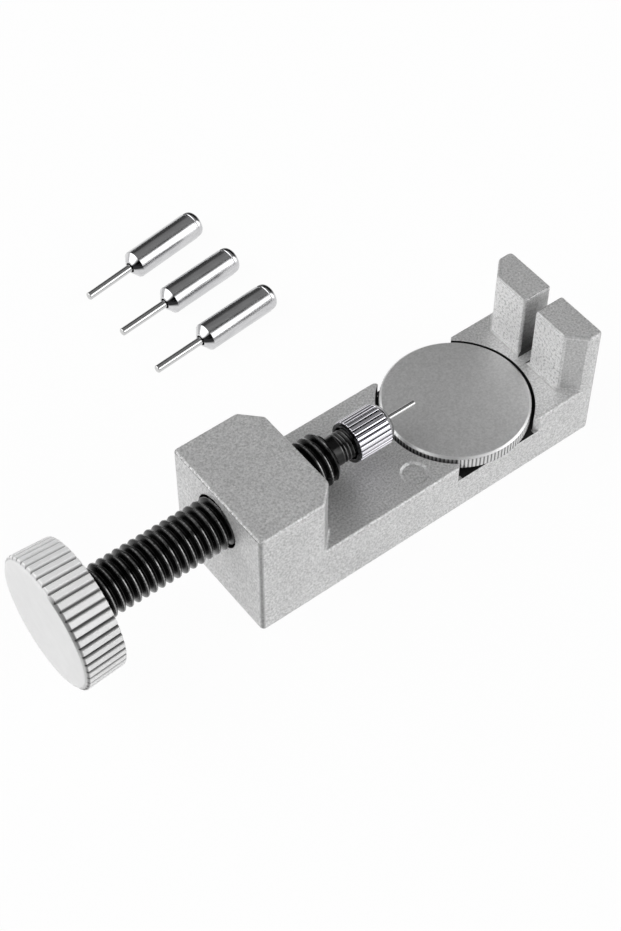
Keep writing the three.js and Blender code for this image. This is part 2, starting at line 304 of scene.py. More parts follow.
bar_top = raise_faces(bm, bm.faces[:], base_thickness, keep_foot=True)
posts = [[face for face in bar_top if in_post(face, side)] for side in (-1, 1)]
raise_faces(bm, [face for face in bar_top if in_head(face)], head_height - base_thickness)
for post in posts:
    raise_faces(bm, post, rest_height - base_thickness)
bmesh.ops.recalc_face_normals(bm, faces=bm.faces)
bmesh.ops.dissolve_limit(bm, angle_limit=radians(1), verts=bm.verts, edges=bm.edges)


def is_outer_corner(edge):
    """Whether an edge is one of the casting's four upright outer corners."""
    ends = [vert.co for vert in edge.verts]
    tall = abs(ends[0].z - ends[1].z) > cast_edge
    at_side = all(half_width - abs(end.y) < 1e-6 for end in ends)
    return tall and at_side and all(min(end.x - casting_low.x, casting_high.x - end.x) < 1e-6 for end in ends)


def rounded(bm, edges, offset, segments):
    """Rounds some edges, and returns the faces of the rounding."""
    faces = bmesh.ops.bevel(
        bm, geom=edges, offset=offset, segments=segments, profile=0.5, affect="EDGES", material=-1)["faces"]
    bm.normal_update()
    return faces


# Rounded edges, as cast: wide at the upright outer corners, narrow along all others and in inner corners.
# The middle of each upright corner's rounding is painted with a dark line, a painted reflection, and its
# flanks are painted darker as shade.
for face in rounded(bm, [edge for edge in bm.edges if is_outer_corner(edge)], corner_round, 6):
    turned = abs(abs(face.normal.x) - abs(face.normal.y))
    if turned < 0.7:
        face.material_index = dark_line_corner_look if turned < 0.3 else shaded_flank_look
# Along the other edges: roundings at the slot's foot take its painted shade, those facing the knob's end and
# upwards are painted darker as shade, those on the rest's inner faces are coarse and painted lit, and those
# on the head's top and the slot's rims are rubbed.
for face in rounded(bm, [edge for edge in bm.edges if edge.calc_face_angle(0) > radians(30)], cast_edge, 4):
    middle, facing = face.calc_center_median(), face.normal
    on_head_top = middle.x < casting_low.x + corner_round and middle.z > head_height - corner_round
    at_slot = middle.x > rest_inner and abs(middle.y) < slot_width / 2 + cast_edge
    if at_slot and abs(facing.x) < 0.1 < abs(facing.y) < 0.99 and middle.z < base_thickness + cast_edge:
        face.material_index = shaded_slot_look
    elif facing.x < -0.1 and facing.z > 0.4 and not on_head_top:
        face.material_index = shaded_flank_look
    elif facing.x < -0.9 and middle.z > base_thickness and middle.x > head_inner:
        face.material_index = coarse_lit_look
    elif facing.z > 0.4 and ((on_head_top and facing.x < -0.4) or (at_slot and abs(facing.y) > 0.4)):
        face.material_index = rubbed_look
# Above the bar, chamfers are painted darker as shade, the rest's inner faces are coarse and painted lit, and
# the slot's walls are in painted shade.
for face in bm.faces:
    middle, facing = face.calc_center_median(), face.normal
    if middle.z <= base_thickness:
        continue
    if abs(abs(facing.x) - abs(facing.y)) < 0.1 and abs(facing.z) < 0.1:
        face.material_index = shaded_flank_look
    elif middle.x > head_inner and facing.x < -0.99:
        face.material_index = coarse_lit_look
    elif middle.x > head_inner and abs(middle.y) < slot_width / 2 + 0.1 * mm and abs(facing.y) > 0.99:
        face.material_index = shaded_slot_look
casting = piece_from(bm, "casting")
for material in casting_looks:
    casting.data.materials.append(material)

# The bore, the pocket, the pocket's cut-back tips and the stud hole take the cut look, painted near black as
# shade.
bore_bm = round_cutter(bore_radius, 2 * head_length, segments=96)
bmesh.ops.rotate(bore_bm, cent=(0, 0, 0), matrix=Matrix.Rotation(radians(90), 3, "Y"), verts=bore_bm.verts)
bmesh.ops.translate(bore_bm, vec=(casting_low.x - head_length / 2, 0, axis_height), verts=bore_bm.verts)
cut_away(casting, bore_bm, shaded_cut_look)

pocket_bm = round_cutter(pocket_radius, base_thickness, segments=180)
bmesh.ops.translate(pocket_bm, vec=(table_centre.x, 0, pocket_floor), verts=pocket_bm.verts)
cut_away(casting, pocket_bm, shaded_cut_look)

# Where the pocket breaks out at the bar's sides, the thin tips of its wall are cut back and chamfered.
tip_reach = (pocket_radius ** 2 - half_width ** 2) ** 0.5 + pocket_tip
pocket_middle = Vector((table_centre.x, 0, pocket_floor + base_thickness / 2))
cut_away(casting, box_cutter((2 * tip_reach, 3 * half_width, base_thickness), pocket_middle), shaded_cut_look)
for along in (-1, 1):
    for side in (-1, 1):
        outward = Vector((-along, side, 0)).normalized()
        corner = pocket_middle + Vector((along * tip_reach, side * half_width, 0))
        away = outward * (base_thickness / 2 - tip_chamfer)
        cut_away(casting, box_cutter(Vector((1, 1, 1)) * base_thickness, corner + away, turn=45))

stud_hole_bm = round_cutter(stud_radius + running_gap, 2 * base_thickness, segments=48)
bmesh.ops.translate(stud_hole_bm, vec=(table_centre.x, 0, -base_thickness), verts=stud_hole_bm.verts)
cut_away(casting, stud_hole_bm, shaded_cut_look)

# The ejector pin's mark is a shallow dish: a round cutter whose foot is tapered.
mark_bm = bmesh.new()
bmesh.ops.create_cone(
    mark_bm, cap_ends=True, segments=64, radius1=mark_radius - mark_wall, radius2=mark_radius + mark_wall,
    depth=2 * mark_depth)
bmesh.ops.translate(mark_bm, vec=(*mark_place, base_thickness), verts=mark_bm.verts)
cut_away(casting, mark_bm)


def on_cut_rim(edge):
    """Whether an edge lies on the rim of the bore or of the pocket."""
    middle = (edge.verts[0].co + edge.verts[1].co) / 2
    near = 0.05 * mm
    if edge.calc_face_angle(0) < radians(25):
        return False
    from_bore = abs(hypot(middle.y, middle.z - axis_height) - bore_radius)
    from_pocket = abs(hypot(middle.x - table_centre.x, middle.y) - pocket_radius)
    on_bore = middle.x < head_inner + cast_edge and from_bore < near
    return on_bore or (middle.z > pocket_floor + cast_edge and from_pocket < near)


bm = bmesh.new()
bm.from_mesh(casting.data)
bmesh.ops.remove_doubles(bm, verts=bm.verts, dist=0.001 * mm)
rims = [edge for edge in bm.edges if on_cut_rim(edge)]
bmesh.ops.bevel(
    bm, geom=rims, offset=cut_edge, segments=2, profile=0.5, affect="EDGES", material=-1, clamp_overlap=True)
bmesh.ops.recalc_face_normals(bm, faces=bm.faces)
bm.to_mesh(casting.data)
bm.free()


def shade(piece, crease):
    """Rounded surfaces shade smoothly, and edges sharper than the crease stay crisp."""
    piece.data.shade_smooth()
    piece.data.set_sharp_from_angle(angle=radians(crease))
    weight = piece.modifiers.new("flat faces stay flat", "WEIGHTED_NORMAL")
    weight.keep_sharp = True


shade(casting, crease=27)

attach(casting, "base")
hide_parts("base_casting")


# Spindle
# A steel screw, turned and threaded, then blacked. A spigot at its rear holds the knob. In front of the
# thread are a plain neck and a bored nose with a finer thread, where the chuck cap screws on.
spindle_low, spindle_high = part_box("spindle")
knob_low, knob_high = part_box("knob")
thread_ahead = 6.4 * mm
thread_start = knob_high.x + running_gap
thread_end = head_inner + thread_ahead
thread_crest = 4.9 * mm
thread_depth = 0.95 * mm
thread_pitch = 1.6 * mm
neck_length = 2 * mm
nose_overlap = 0.3 * mm
nose_crest = 2.84 * mm
nose_depth = 0.34 * mm
nose_pitch = 0.75 * mm
nose_bore = 1.9 * mm
nose_bore_depth = 8.7 * mm
nose_wear_and_highlight = 0.4
spigot_radius = 3.7 * mm
spigot_chamfer = 0.3 * mm
neck_chamfer = 0.25 * mm
lip_chamfer = 0.15 * mm

# One turn of thread, as shares of its pitch and depth: a sharp root, straight flanks and a rounded crest.
ridge = [
    (0, 0), (0.06, 0.03), (0.28, 0.7), (0.37, 0.92), (0.5, 1),
    (0.63, 0.92), (0.72, 0.7), (0.94, 0.03), (1, 0),
]


def rim_at(bm, station):
    """The open edges at one end of a bar along X."""
    open_edges = [edge for edge in bm.edges if edge.is_boundary]
    return [edge for edge in open_edges if all(abs(vert.co.x - station) < 1e-7 for vert in edge.verts)]


def draw_rim(bm, rim, place):
    """Extrudes an open rim and sends each of its new corners to where a rule puts it."""
    drawn = bmesh.ops.extrude_edge_only(bm, edges=rim)["geom"]
    for vert in drawn:
        if isinstance(vert, bmesh.types.BMVert):
            vert.co = place(vert.co)
    return [part for part in drawn if isinstance(part, bmesh.types.BMEdge) and part.is_boundary]


def step_rim(bm, rim, station, radius):
    """Draws a rim of the bar on to a new station and radius."""
    def place(old):
        angle = atan2(old.z - axis_height, old.y)
        return (station, radius * cos(angle), axis_height + radius * sin(angle))

    return draw_rim(bm, rim, place)


def wound_thread(bm, start, end, crest, depth, pitch, steps, late):
    """A right-hand thread between two stations, its ends chamfered down to the root and left open. It is
    wound late by a share of the pitch."""
    root = crest - depth
    first = start - (2 - late) * pitch
    line = [bm.verts.new((first + share * pitch, root + rise * depth, axis_height)) for share, rise in ridge]
    edges = [bm.edges.new(pair) for pair in zip(line, line[1:])]
    turns = ceil((end - start) / pitch) + 3
    bmesh.ops.spin(
        bm, geom=line + edges, cent=(0, 0, axis_height), axis=(1, 0, 0), dvec=(pitch / steps, 0, 0),
        angle=2 * pi * turns, steps=turns * steps, use_merge=False)
    bmesh.ops.remove_doubles(bm, verts=bm.verts, dist=0.002 * mm)
    for station, facing in ((start, -1), (end, 1)):
        bmesh.ops.bisect_plane(
            bm, geom=bm.verts[:] + bm.edges[:] + bm.faces[:], dist=1e-8, plane_co=(station, 0, 0),
            plane_no=(facing, 0, 0), clear_outer=True)
    for vert in bm.verts:
        reach = hypot(vert.co.y, vert.co.z - axis_height)
        most = root + min(vert.co.x - start, end - vert.co.x)
        if reach > most:
            share = most / reach
            vert.co.y *= share
            vert.co.z = axis_height + (vert.co.z - axis_height) * share


def close_rim(bm, rim):
    """Closes a rim of the bar with a flat face."""
    bmesh.ops.edgenet_fill(bm, edges=rim)


bm = bmesh.new()
wound_thread(
    bm, thread_start, thread_end, thread_crest, thread_depth, thread_pitch, steps=40, late=0.671)
rear = step_rim(bm, rim_at(bm, thread_start), thread_start, spigot_radius)
rear = step_rim(bm, rear, spindle_low.x + spigot_chamfer, spigot_radius)
rear = step_rim(bm, rear, spindle_low.x, spigot_radius - spigot_chamfer)
close_rim(bm, rear)
front = step_rim(bm, rim_at(bm, thread_end), thread_end, nose_crest + neck_chamfer)
front = step_rim(bm, front, thread_end + neck_chamfer, nose_crest)
front = step_rim(bm, front, thread_end + neck_length, nose_crest)
close_rim(bm, front)

nose_bm = bmesh.new()
nose_start = thread_end + neck_length - nose_overlap
nose_end = spindle_high.x
wound_thread(nose_bm, nose_start, nose_end, nose_crest, nose_depth, nose_pitch, steps=32, late=0.3)
close_rim(nose_bm, rim_at(nose_bm, nose_start))
lip = step_rim(nose_bm, rim_at(nose_bm, nose_end), nose_end, nose_bore + lip_chamfer)
lip = step_rim(nose_bm, lip, nose_end - lip_chamfer, nose_bore)
lip = step_rim(nose_bm, lip, nose_end - nose_bore_depth, nose_bore)
close_rim(nose_bm, lip)
nose_mesh = bpy.data.meshes.new("nose")
nose_bm.to_mesh(nose_mesh)
nose_bm.free()
bm.from_mesh(nose_mesh)
bmesh.ops.recalc_face_normals(bm, faces=bm.faces)
spindle = piece_from(bm, "screw")
bpy.data.meshes.remove(nose_mesh)
shade(spindle, crease=50)


def combined(tree, operation, *values):
    """Two or three values put through one step of arithmetic."""
    step = tree.nodes.new("ShaderNodeMath")
    step.operation = operation
    for value, socket in zip(values, step.inputs):
        feed(tree, value, socket)
    return step.outputs["Value"]


def length_of(tree, across, up):
    """The length of a step from its two sides."""
    flat = tree.nodes.new("ShaderNodeCombineXYZ")
    tree.links.new(across, flat.inputs["X"])
    tree.links.new(up, flat.inputs["Y"])
    length = tree.nodes.new("ShaderNodeVectorMath")
    length.operation = "LENGTH"
    tree.links.new(flat.outputs["Vector"], length.inputs[0])
    return length.outputs["Value"]


def radius_from_axis(tree, place):
    """Distance of each point from the screw's axis, and its station along it."""
    parts = split(tree, place)
    return length_of(tree, parts["Y"], combined(tree, "SUBTRACT", parts["Z"], axis_height)), parts["X"]


# Blacked steel: nearly black and oiled, worn to grey metal along the crests of both threads, a grey that
# also stands as a painted highlight on the crests.
blacked, tree, shader = material_nodes("blacked steel", grey(0.02), 1.0, 0.24)
place = tree.nodes.new("ShaderNodeTexCoord").outputs["Object"]
reach, station = radius_from_axis(tree, place)
# The grey on the crests is wear and a painted highlight.
main_crest = share_between(tree, reach, thread_crest - 0.07 * mm, thread_crest - 0.01 * mm)
fine_crest = share_between(tree, reach, nose_crest - 0.09 * mm, nose_crest - 0.02 * mm)
neck_end = thread_end + neck_length
past_neck = share_between(tree, station, neck_end - 0.2 * mm, neck_end)
on_nose = combined(tree, "MULTIPLY", fine_crest, combined(tree, "MULTIPLY", past_neck, nose_wear_and_highlight))
on_crest = combined(tree, "MAXIMUM", main_crest, on_nose)
smudges = noise_at(tree, place, 1.2 * mm, 4)
worn_and_highlit = combined(tree, "MULTIPLY", on_crest, share_between(tree, smudges, 0.25, 0.5))
tree.links.new(ramp_between(tree, worn_and_highlit, [(0, 0.03), (1, 0.38)]), shader.inputs["Base Color"])
tree.links.new(ramp_between(tree, smudges, [(0.3, 0.18), (0.7, 0.34)]), shader.inputs["Roughness"])
skin = noise_at(tree, place, 0.15 * mm)
tree.links.new(bump_from(tree, skin, 0.004 * mm), shader.inputs["Normal"])
spindle.data.materials.append(blacked)

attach(spindle, "spindle")
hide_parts("spindle")


# Knob
# A thick disc of pale plated steel pressed on the spindle's spigot. Its rim has 45 narrow straight grooves
# for the fingers, its outer edge is bevelled and its face is turned to a satin.
knob_front_radius = 12.65 * mm
knob_rear_radius = 12.25 * mm
knob_bevel_length = 0.65 * mm
knob_bevel_depth = 0.95 * mm
knob_grooves = 45
knob_groove_depth = 0.65 * mm
knob_groove_share = 0.5
knob_spigot_depth = 5.9 * mm
knob_back_edge = 0.3 * mm

# Corners nearer than the merge gap become one, so that a rim as small as the closed one shuts to a point.
closed_rim = 0.001 * mm
merge_gap = 0.003 * mm


def groove_share(angle, count, width_share):
    """1 in the middle of a groove and 0 on the lands between, with a rounded floor and mouth."""
    turn = angle * count / (2 * pi)
    off = abs(turn - floor(turn + 0.5)) * 2 / width_share
    return 0 if off >= 1 else (1 + cos(pi * off)) / 2


def rim_steps(width_share, steps, land_steps=6):
    """Places round one groove's pitch: close together across the groove and far apart on the land."""
    across = [width_share / 2 * step / steps for step in range(-steps, steps + 1)]
    land = [width_share / 2 + (1 - width_share) * step / land_steps for step in range(1, land_steps)]
    return across + land


def grooved_bar(path, count, groove_depth, width_share, steps, slope=0, crown=0):
    """A closed bar along X through (station, radius) rims. Its grooves are cut down from the widest rim,
    whose radius may shrink with the slope along X, and they run out where the path dips under their floor.
    The lands between them may be crowned."""
    shares = rim_steps(width_share, steps)
    (start, start_radius), *rest = path
    widest = max(path, key=lambda rim: rim[1])
    bm = bmesh.new()
    ring = bmesh.ops.create_circle(bm, cap_ends=False, segments=count * len(shares), radius=1)["verts"]
    rim = bm.edges[:]
    for index, vert in enumerate(ring):
        angle = 2 * pi * (index // len(shares) + shares[index % len(shares)]) / count
        vert.co = (start, start_radius * cos(angle), axis_height + start_radius * sin(angle))
    for station, radius in rest:
        envelope = widest[1] - slope * (station - widest[0])

        def place(old):
            angle = atan2(old.z - axis_height, old.y)
            sunk = groove_depth * groove_share(angle, count, width_share)
            sunk += crown * (1 + cos(angle * count)) / 2
            reach = min(radius, envelope - sunk)
            return (station, reach * cos(angle), axis_height + reach * sin(angle))

        rim = draw_rim(bm, rim, place)
    bmesh.ops.remove_doubles(bm, verts=bm.verts, dist=merge_gap)
    bmesh.ops.recalc_face_normals(bm, faces=bm.faces)
    return bm


knob_bevel_start = knob_front_radius - knob_bevel_depth
knob_bore = spigot_radius + running_gap
knob_bevel = [
    (knob_low.x + knob_bevel_length * share, knob_bevel_start + knob_bevel_depth * share)
    for share in (0.04, 0.25, 0.42, 0.55, 0.7, 0.85, 0.96)
]
knob_path = [
    (knob_low.x, closed_rim),
    (knob_low.x, 4 * mm),
    (knob_low.x, 8 * mm),
    (knob_low.x, knob_bevel_start - 0.06 * mm),
    *knob_bevel,
    (knob_low.x + knob_bevel_length + 0.08 * mm, knob_front_radius),
    (knob_high.x - knob_back_edge, knob_rear_radius),
    (knob_high.x - 0.08 * mm, knob_rear_radius - 0.08 * mm),
    (knob_high.x, knob_rear_radius - knob_back_edge),
    (knob_high.x, knob_rear_radius - 0.9 * mm),
    (knob_high.x, knob_bore),
    (knob_high.x - knob_spigot_depth, knob_bore),
    (knob_high.x - knob_spigot_depth, closed_rim),
]
knob_slope = (knob_front_radius - knob_rear_radius) / (knob_high.x - knob_low.x - knob_bevel_length)
knob_bm = grooved_bar(
    knob_path, knob_grooves, knob_groove_depth, knob_groove_share, steps=4, slope=knob_slope)
knob = piece_from(knob_bm, "knob_disc")
shade(knob, crease=35)


def turn_about_axis(tree, place):
    """Place round the screw's axis, as a share of a turn: 0.5 above it, 0.75 on the bench's near side."""
    parts = split(tree, place)
    near = combined(tree, "MULTIPLY", parts["Y"], -1)
    turn = combined(tree, "ARCTAN2", near, combined(tree, "SUBTRACT", parts["Z"], axis_height))
    return share_between(tree, turn, -pi, pi)


def fine_lines(tree, along, spacing):
    """Noise that changes in one direction only, like the marks of a tool."""
    lines = tree.nodes.new("ShaderNodeTexNoise")
    lines.noise_dimensions = "1D"
    lines.inputs["Scale"].default_value = 1 / spacing
    tree.links.new(along, lines.inputs["W"])
    return lines.outputs["Fac"]


# Satin steel: pale, with fine turning rings on the face. The grooves are painted darker than the lands as
# shade, more so on the knob's near, lower side, where a band of the bevel is painted dark as shade too.
satin_steel, tree, shader = material_nodes("satin steel", grey(0.8), 0.2, 0.55)
place = tree.nodes.new("ShaderNodeTexCoord").outputs["Object"]
reach, station = radius_from_axis(tree, place)
clouds = noise_at(tree, place, 3 * mm, 4)
level = combined(tree, "MULTIPLY_ADD", station, knob_slope, reach)
land_level = knob_front_radius + knob_slope * (knob_low.x + knob_bevel_length)
on_land = share_between(tree, level, land_level - knob_groove_depth, land_level)
past_face = share_between(tree, station, knob_low.x + 0.25 * mm, knob_low.x + 0.5 * mm)
short_of_back = share_between(tree, station, knob_high.x - 0.02 * mm, knob_high.x - 0.08 * mm)
on_rim = combined(tree, "MULTIPLY", past_face, short_of_back)
turn = turn_about_axis(tree, place)
# The grooves are painted darker than the lands as shade, and the rim's near, lower side is painted darker
# still as shade.
clean = ramp_between(tree, on_land, [(0, 0.32), (0.3, 0.44), (0.7, 0.82), (1, 0.96)])
shaded_side_colour = ramp_between(tree, on_land, [(0, 0.01), (0.3, 0.03), (0.7, 0.34), (0.95, 0.86)])
rim_colour_with_shade = mixed(tree, share_between(tree, turn, 0.52, 0.72), clean, shaded_side_colour)
face_colour = ramp_between(tree, clouds, [(0.3, 0.77), (0.7, 0.81)])
plating = mixed(tree, on_rim, face_colour, rim_colour_with_shade)
past_bevel = share_between(tree, station, knob_low.x + 0.02 * mm, knob_low.x + 0.7 * mm)
on_bevel = ramp_between(tree, past_bevel, [(0, 0), (0.2, 1), (0.85, 1), (1, 0)])
# A band of the bevel just past its top towards the near side is painted dark as shade.
bevel_shade = ramp_between(tree, turn, [
    (0.4, 1), (0.535, 1), (0.56, 0.3), (0.65, 0.35), (0.7, 0.75), (0.8, 0.85)])
tree.links.new(mixed(tree, on_bevel, plating, bevel_shade, "MULTIPLY"), shader.inputs["Base Color"])
tree.links.new(ramp_between(tree, clouds, [(0.3, 0.5), (0.7, 0.6)]), shader.inputs["Roughness"])
rings = fine_lines(tree, reach, 0.16 * mm)
tree.links.new(bump_from(tree, rings, 0.003 * mm), shader.inputs["Normal"])
knob.data.materials.append(satin_steel)

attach(knob, "spindle")
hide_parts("knob")


# Chuck cap
# A small sleeve with 24 coarse grooves, bright plated. It screws on the spindle's nose, and the cone inside
# it presses on the punch's shoulder while the needle passes through the hole in its front.
cap_low, cap_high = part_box("chuck_cap")
cap_radius = 4.03 * mm
cap_chamfer = 1.4 * mm
cap_face_radius = 3.15 * mm
cap_grooves = 24
cap_groove_depth = 0.3 * mm
cap_groove_share = 0.4
cap_crown = 0.07 * mm
cap_bore = 3.14 * mm
needle_hole = 0.8 * mm
cap_wall = 1.2 * mm
cap_seat = 1.3 * mm

knurl_end = cap_high.x - cap_chamfer
cap_root = cap_radius - cap_groove_depth
cap_path = [
    (cap_high.x, needle_hole),
    (cap_high.x, cap_face_radius - 0.25 * mm),
    (cap_high.x - 0.1 * mm, cap_face_radius),
    (knurl_end + 0.6 * cap_chamfer, cap_face_radius + 0.42 * (cap_radius - cap_face_radius)),
    (knurl_end + 0.28 * cap_chamfer, cap_root - 0.02 * mm),
    (knurl_end + 0.24 * cap_chamfer, cap_radius - 0.18 * mm),
    (knurl_end + 0.18 * cap_chamfer, cap_radius - 0.07 * mm),
    (knurl_end, cap_radius),
    (cap_low.x + 0.7 * mm, cap_radius),
    (cap_low.x + 0.63 * mm, cap_radius - 0.08 * mm),
    (cap_low.x + 0.55 * mm, cap_root),
    (cap_low.x + 0.25 * mm, cap_root),
    (cap_low.x + 0.15 * mm, cap_root + 0.12 * mm),
    (cap_low.x, cap_root + 0.02 * mm),
    (cap_low.x, cap_bore + 0.12 * mm),
    (cap_low.x + 0.12 * mm, cap_bore),
    (cap_high.x - cap_wall - cap_seat, cap_bore),
    (cap_high.x - cap_wall, needle_hole),
    (cap_high.x, needle_hole),
]
cap_bm = grooved_bar(
    cap_path, cap_grooves, cap_groove_depth, cap_groove_share, steps=5, crown=cap_crown)
cap = piece_from(cap_bm, "cap_sleeve")
shade(cap, crease=38)

# Bright plating: a clean mirror with a few soft smears, painted dark in the grooves as shade, greyer on the
# cone at the front and blackened on the plain ring at the rear.
plated, tree, shader = material_nodes("bright plating", (0.8, 0.79, 0.84), 1.0, 0.1)
place = tree.nodes.new("ShaderNodeTexCoord").outputs["Object"]
reach, station = radius_from_axis(tree, place)
on_land = share_between(tree, reach, cap_radius - 0.3 * mm, cap_radius - 0.08 * mm)
# The grooves are painted dark as shade.
groove_shaded_colour = ramp_between(tree, on_land, [(0, (0.1, 0.1, 0.11)), (1, (0.82, 0.81, 0.86))])
in_front = share_between(tree, station, knurl_end + 0.3 * mm, knurl_end + 0.4 * mm)
ahead_of_ring = share_between(tree, station, cap_low.x + 0.55 * mm, cap_low.x + 0.65 * mm)
front_colour = mixed(tree, in_front, groove_shaded_colour, (0.4, 0.4, 0.41))
cap_colour = mixed(tree, ahead_of_ring, (0.015, 0.015, 0.016), front_colour)
tree.links.new(cap_colour, shader.inputs["Base Color"])
smears = noise_at(tree, place, 1.5 * mm, 4)
tree.links.new(ramp_between(tree, smears, [(0.35, 0.06), (0.75, 0.16)]), shader.inputs["Roughness"])
cap.data.materials.append(plated)

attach(cap, "chuck_cap")
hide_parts("chuck_cap")


# Fitted punch
# A hardened steel needle pressed in a short round body. The body drops into the spindle's nose, and only
# the needle shows, straight and ground bright, with its end stoned flat.
body_low, body_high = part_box("punch_body")
needle_low, needle_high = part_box("punch_needle")
fitted_rear_round = 0.25 * mm
fitted_shoulder = 0.6 * mm
fitted_socket_depth = 2.5 * mm
fitted_face_share = 0.66
punch_crease = 40


def turned_bar(profile, steps):
    """A solid turned about X from (station, radius) points that start and end on the axis."""
    bm = bmesh.new()
    line = [bm.verts.new((station, radius, 0)) for station, radius in profile]
    edges = [bm.edges.new(pair) for pair in zip(line, line[1:])]
    bmesh.ops.spin(
        bm, geom=line + edges, cent=(0, 0, 0), axis=(1, 0, 0), dvec=(0, 0, 0), angle=2 * pi, steps=steps,
        use_merge=True)
    bmesh.ops.remove_doubles(bm, verts=bm.verts, dist=0.0005 * mm)
    bmesh.ops.recalc_face_normals(bm, faces=bm.faces)
    return bm


def rounded_end(station, radius, edge, outward, steps=4):
    """Points of a rounded edge between a bar's side and its flat end."""
    turns = [step / steps * pi / 2 for step in range(steps + 1)]
    points = [(station - outward * edge * (1 - sin(turn)), radius - edge * (1 - cos(turn))) for turn in turns]
    return points if outward > 0 else points[::-1]


def needle_bar(start, end, radius):
    """A needle from its buried end to its tip."""
    return turned_bar(
        [(start, 0)] + rounded_end(start, radius, 0.1 * radius, -1)
        + rounded_end(end, radius, 0.3 * radius, 1) + [(end, 0)], steps=32)


def body_bar(rear_path, shoulder, face, radius, face_radius, socket_radius, socket_depth):
    """A punch's body along X, from the path over its rear end to a socket in its coned front."""
    return turned_bar(
        rear_path + [
            (shoulder - 0.1 * mm, radius),
            (shoulder + 0.08 * mm, radius - 0.08 * mm),
            (face - 0.06 * mm, face_radius + 0.04 * mm),
            (face, face_radius - 0.04 * mm),
            (face, socket_radius),
            (face - socket_depth, socket_radius),
            (face - socket_depth, 0),
        ], steps=64)


fitted_radius = (body_high.y - body_low.y) / 2
fitted_needle_radius = (needle_high.y - needle_low.y) / 2
fitted_rear = [(body_low.x, 0)] + rounded_end(body_low.x, fitted_radius, fitted_rear_round, -1, steps=6)
bm = body_bar(
    fitted_rear, body_high.x - fitted_shoulder, body_high.x, fitted_radius, fitted_face_share * fitted_radius,
    fitted_needle_radius + running_gap, fitted_socket_depth)
bmesh.ops.translate(bm, vec=(0, 0, axis_height), verts=bm.verts)
fitted_body = piece_from(bm, "fitted_punch_body")
shade(fitted_body, punch_crease)
bm = needle_bar(needle_low.x, needle_high.x, fitted_needle_radius)
bmesh.ops.translate(bm, vec=(0, 0, axis_height), verts=bm.verts)
fitted_needle = piece_from(bm, "fitted_punch_needle")
shade(fitted_needle, punch_crease)

# Ground steel: fine lines round the bar from the grinding wheel.
ground, tree, shader = material_nodes("ground steel", grey(0.7), 1.0, 0.2)
place = tree.nodes.new("ShaderNodeTexCoord").outputs["Object"]
lines = fine_lines(tree, split(tree, place)["X"], 0.1 * mm)
tree.links.new(ramp_between(tree, lines, [(0.3, 0.54), (0.7, 0.68)]), shader.inputs["Base Color"])
clouds = noise_at(tree, place, 1 * mm, 3)
tree.links.new(ramp_between(tree, clouds, [(0.3, 0.14), (0.7, 0.26)]), shader.inputs["Roughness"])
for punch_piece, node in ((fitted_body, "punch_body"), (fitted_needle, "punch_needle")):
    punch_piece.data.materials.append(ground)
    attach(punch_piece, "punch")
    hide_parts(node)


# Turntable and stud
# A round steel plate that the work lies on. It is faced to a satin grey, its top edge is bevelled bright
# and its rim finely knurled to be turned by hand. The stud under it screws into the bar.
table_bevel = 0.45 * mm
table_foot_edge = 0.35 * mm
rim_grooves = 120
rim_groove_depth = 0.14 * mm
rim_groove_share = 0.7
stud_hole_radius = 2.3 * mm
stud_hole_depth = 2.1 * mm

plate_path = [
    (table_high.z, 9 * mm),
    (table_high.z, table_radius - table_bevel - 0.12 * mm),
    (table_high.z - 0.04 * mm, table_radius - table_bevel),
    (table_high.z - table_bevel + 0.08 * mm, table_radius - 0.08 * mm),
    (table_high.z - table_bevel - 0.05 * mm, table_radius),
    (table_low.z + table_foot_edge + 0.05 * mm, table_radius),
    (table_low.z + table_foot_edge - 0.05 * mm, table_radius - 0.1 * mm),
    (table_low.z, table_radius - table_foot_edge - 0.05 * mm),
    (table_low.z, stud_hole_radius),
    (table_low.z + stud_hole_depth, stud_hole_radius),
    (table_low.z + stud_hole_depth, closed_rim),
]
bm = bmesh.new()
bmesh.ops.create_circle(bm, cap_ends=False, segments=rim_grooves * 4, radius=closed_rim)
bmesh.ops.translate(bm, vec=(table_centre.x, 0, table_high.z), verts=bm.verts)
rim = bm.edges[:]
for height, radius in plate_path:

    def place_on_plate(old):
        angle = atan2(old.y, old.x - table_centre.x)
        sunk = groove_share(angle, rim_grooves, rim_groove_share) if radius > table_radius - 0.02 * mm else 0
        reach = radius - rim_groove_depth * sunk
        return (table_centre.x + reach * cos(angle), reach * sin(angle), height)

    rim = draw_rim(bm, rim, place_on_plate)
bmesh.ops.remove_doubles(bm, verts=bm.verts, dist=merge_gap)
bmesh.ops.recalc_face_normals(bm, faces=bm.faces)
plate = piece_from(bm, "turntable_plate")
shade(plate, crease=35)

# Faced plate: a satin top, a smoother and brighter bevel, and a knurled rim painted dark as shade, darkest
# in its grooves.
faced, tree, shader = material_nodes("faced plate", grey(0.5), 0.6, 0.4)
place = tree.nodes.new("ShaderNodeTexCoord").outputs["Object"]
parts = split(tree, place)
grain = noise_at(tree, place, 0.4 * mm, 3)
up_bevel = share_between(tree, parts["Z"], table_high.z - table_bevel, table_high.z - 0.01 * mm)
from_centre = length_of(tree, combined(tree, "SUBTRACT", parts["X"], table_centre.x), parts["Y"])
on_ridge = share_between(tree, from_centre, table_radius - rim_groove_depth, table_radius - 0.02 * mm)
